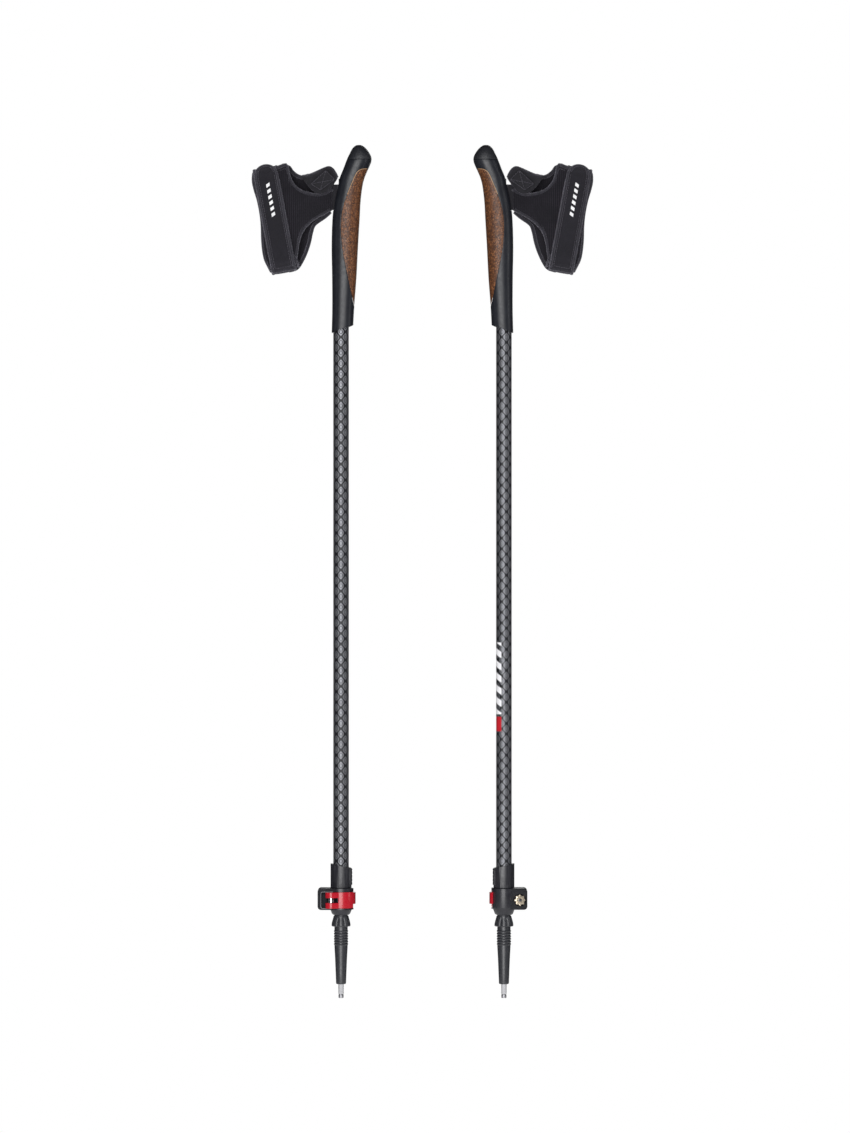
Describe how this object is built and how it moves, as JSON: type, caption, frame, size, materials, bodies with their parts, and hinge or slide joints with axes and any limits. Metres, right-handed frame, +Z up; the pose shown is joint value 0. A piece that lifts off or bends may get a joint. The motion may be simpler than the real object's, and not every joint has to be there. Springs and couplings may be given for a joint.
{
  "type": "nordic walking poles",
  "caption": "Pair of two-section telescoping walking poles with cork-inlaid grips, glove straps, lever clamps and threaded tips, stored collapsed.",
  "frame": {"origin": "on the left pole's shaft axis, at the middle of its grip, 770 mm above its carbide tip", "axes": "+Z up along the shafts, +X from the left pole to the right pole, +Y to the back of the pair"},
  "size_m": [0.3552, 0.0423, 0.88],
  "materials": {
    "grip_rubber": "satin charcoal moulded rubber",
    "cap_rubber": "finely textured matte rubber",
    "cork": "speckled brown cork, lightly sealed",
    "printed_tube": "black lacquer printed with silver-grey nested hexagons",
    "plain_tube": "black anodised",
    "clamp_plastic": "black moulded nylon",
    "red_lever": "glossy red",
    "steel": "bright",
    "nut_metal": "nickel-coloured brass",
    "tip_plastic": "glossy black",
    "carbide": "dull grey",
    "webbing": "black woven polyester",
    "strap_mesh": "black knitted spacer mesh"
  },
  "bodies": {
    "left_upper": {"left_grip_body": "grip_rubber", "left_grip_cork_inlay": "cork", "left_grip_head_cap": "cap_rubber", "left_strap_anchor_pin": "steel", "left_upper_tube": "printed_tube", "left_clamp_sleeve": "clamp_plastic", "left_clamp_collar": "clamp_plastic", "left_clamp_wear_plate": "steel", "left_clamp_bolt": "steel", "left_lever_pivot_pin": "steel", "left_clamp_washer": "steel"},
    "left_lower": {"left_lower_tube": "plain_tube", "left_lower_tube_guide": "clamp_plastic", "left_tip_ferrule": "tip_plastic", "left_tip_shank": "steel", "left_tip_carbide": "carbide"},
    "left_lever": {"left_clamp_lever": "red_lever"},
    "left_nut": {"left_clamp_wheel_nut": "nut_metal"},
    "left_strap": {"left_strap_anchor_webbing": "webbing", "left_strap_hand_panel": "strap_mesh", "left_strap_palm_panel": "strap_mesh", "left_strap_thumb_loop": "webbing", "left_strap_wrist_band": "webbing", "left_strap_wrist_lining": "strap_mesh", "left_strap_closure_tab": "webbing"},
    "right_upper": {"right_grip_body": "grip_rubber", "right_grip_cork_inlay": "cork", "right_grip_head_cap": "cap_rubber", "right_strap_anchor_pin": "steel", "right_upper_tube": "printed_tube", "right_clamp_sleeve": "clamp_plastic", "right_clamp_collar": "clamp_plastic", "right_clamp_wear_plate": "steel", "right_clamp_bolt": "steel", "right_lever_pivot_pin": "steel", "right_clamp_washer": "steel"},
    "right_lower": {"right_lower_tube": "plain_tube", "right_lower_tube_guide": "clamp_plastic", "right_tip_ferrule": "tip_plastic", "right_tip_shank": "steel", "right_tip_carbide": "carbide"},
    "right_lever": {"right_clamp_lever": "red_lever"},
    "right_nut": {"right_clamp_wheel_nut": "nut_metal"},
    "right_strap": {"right_strap_anchor_webbing": "webbing", "right_strap_hand_panel": "strap_mesh", "right_strap_palm_panel": "strap_mesh", "right_strap_thumb_loop": "webbing", "right_strap_wrist_band": "webbing", "right_strap_wrist_lining": "strap_mesh", "right_strap_closure_tab": "webbing"}
  },
  "joints": [
    {"name": "left_length_slide", "type": "slide", "parent": "left_upper", "child": "left_lower", "axis": [0, 0, -1], "range_m": [0, 0.42]},
    {"name": "left_lever_swing", "type": "hinge", "parent": "left_upper", "child": "left_lever", "pos_m": [-0.01, -0.0129, -0.6684], "axis": [0, 0, 1], "range_deg": [-130, 0]},
    {"name": "left_nut_turn", "type": "hinge", "parent": "left_upper", "child": "left_nut", "pos_m": [-0.01613, 0.00906, -0.6684], "axis": [-0.2689, 0.9632, 0], "continuous": true},
    {"name": "left_strap_swing", "type": "hinge", "parent": "left_upper", "child": "left_strap", "pos_m": [-0.001, 0, 0.056], "axis": [0, 0, 1], "range_deg": [-30, 30]},
    {"name": "right_length_slide", "type": "slide", "parent": "right_upper", "child": "right_lower", "axis": [0, 0, -1], "range_m": [0, 0.42]},
    {"name": "right_lever_swing", "type": "hinge", "parent": "right_upper", "child": "right_lever", "pos_m": [0.178, 0.0129, -0.6684], "axis": [0, 0, 1], "range_deg": [-130, 0]},
    {"name": "right_nut_turn", "type": "hinge", "parent": "right_upper", "child": "right_nut", "pos_m": [0.18413, -0.00906, -0.6684], "axis": [0.2689, -0.9632, 0], "continuous": true},
    {"name": "right_strap_swing", "type": "hinge", "parent": "right_upper", "child": "right_strap", "pos_m": [0.169, 0, 0.056], "axis": [0, 0, 1], "range_deg": [-30, 30]},
    {"name": "pair_spread", "type": "slide", "parent": "left_upper", "child": "right_upper", "axis": [1, 0, 0], "range_m": [0, 0.3]}
  ]
}
